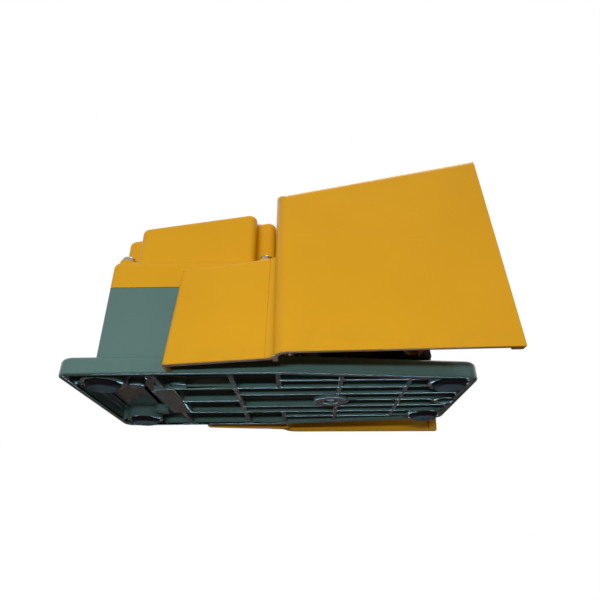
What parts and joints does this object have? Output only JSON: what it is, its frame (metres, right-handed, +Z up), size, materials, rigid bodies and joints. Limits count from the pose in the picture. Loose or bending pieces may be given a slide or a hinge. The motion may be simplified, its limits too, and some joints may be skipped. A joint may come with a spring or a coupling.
{
  "type": "guarded foot switch",
  "caption": "Heavy-duty foot switch: a ribbed cast base with a switch housing, a wide yellow hood that guards the foot, and a sprung treadle inside it.",
  "frame": {"origin": "on the floor under the middle of the overall length and width", "axes": "+X towards the open front of the hood where the foot goes in, +Y across to the side away from the camera, +Z up"},
  "size_m": [0.232, 0.174, 0.134],
  "materials": {
    "green_paint": "semi-gloss grey-green enamel on an aluminium casting",
    "yellow_paint": "semi-gloss golden yellow enamel on an aluminium casting",
    "black_paint": "black enamel on a casting",
    "black_rubber": "matt black rubber",
    "zinc_steel": "zinc plated steel",
    "bright_steel": "bright turned steel",
    "spring_steel": "oiled spring steel",
    "bronze": "sintered bronze",
    "brass": "bright brass",
    "black_plastic": "moulded phenolic",
    "grey_plastic": "moulded cover",
    "red_plastic": "smooth moulded plunger"
  },
  "bodies": {
    "housing": {"base_casting": "green_paint", "lid": "yellow_paint", "hood": "yellow_paint", "rubber_feet": "black_rubber", "stop_bumpers": "black_rubber", "lid_gasket": "black_rubber", "lid_washers": "zinc_steel", "lid_screws": "zinc_steel", "hood_screws": "zinc_steel", "post_screw": "zinc_steel", "bracket_screws": "zinc_steel", "switch_bolts": "zinc_steel", "earth_screw": "zinc_steel", "earth_washer": "zinc_steel", "lever_pin": "zinc_steel", "hinge_axle": "bright_steel", "spring_post": "bright_steel", "switch_bracket": "bright_steel", "return_spring": "spring_steel", "axle_clips": "spring_steel", "switch_terminals": "brass", "terminal_screws": "brass", "switch_body": "black_plastic", "switch_cover": "grey_plastic"},
    "treadle": {"treadle": "black_paint", "treadle_mat": "black_rubber", "hinge_bushes": "bronze"},
    "lever": {"actuator_lever": "bright_steel", "roller_pin": "zinc_steel", "adjust_screw": "zinc_steel", "lock_nut": "zinc_steel"},
    "roller": {"lever_roller": "bright_steel"},
    "plunger": {"switch_plunger": "red_plastic"}
  },
  "joints": [
    {"name": "treadle_hinge", "type": "hinge", "parent": "housing", "child": "treadle", "pos_m": [0.0715, 0, 0.0205], "axis": [0, -1, 0], "range_deg": [0, 5.5], "stiffness_Nm_per_rad": 12, "springref_deg": -3.44, "deforming": ["return_spring"]},
    {"name": "lever_pivot", "type": "hinge", "parent": "housing", "child": "lever", "pos_m": [-0.072, 0, 0.045], "axis": [0, 1, 0], "range_deg": [0, 10]},
    {"name": "roller_spin", "type": "hinge", "parent": "lever", "child": "roller", "pos_m": [-0.02, 0, 0.04121], "axis": [0, -1, 0], "range_deg": [0, 25]},
    {"name": "plunger_travel", "type": "slide", "parent": "housing", "child": "plunger", "axis": [0, 0, -1], "range_m": [0, 0.003]}
  ],
  "couplings": [
    {"joint": "lever_pivot", "follows": "treadle_hinge", "ratio": 1.8},
    {"joint": "roller_spin", "follows": "treadle_hinge", "ratio": 4.4},
    {"joint": "plunger_travel", "follows": "treadle_hinge", "m_per_rad": 0.0281}
  ]
}
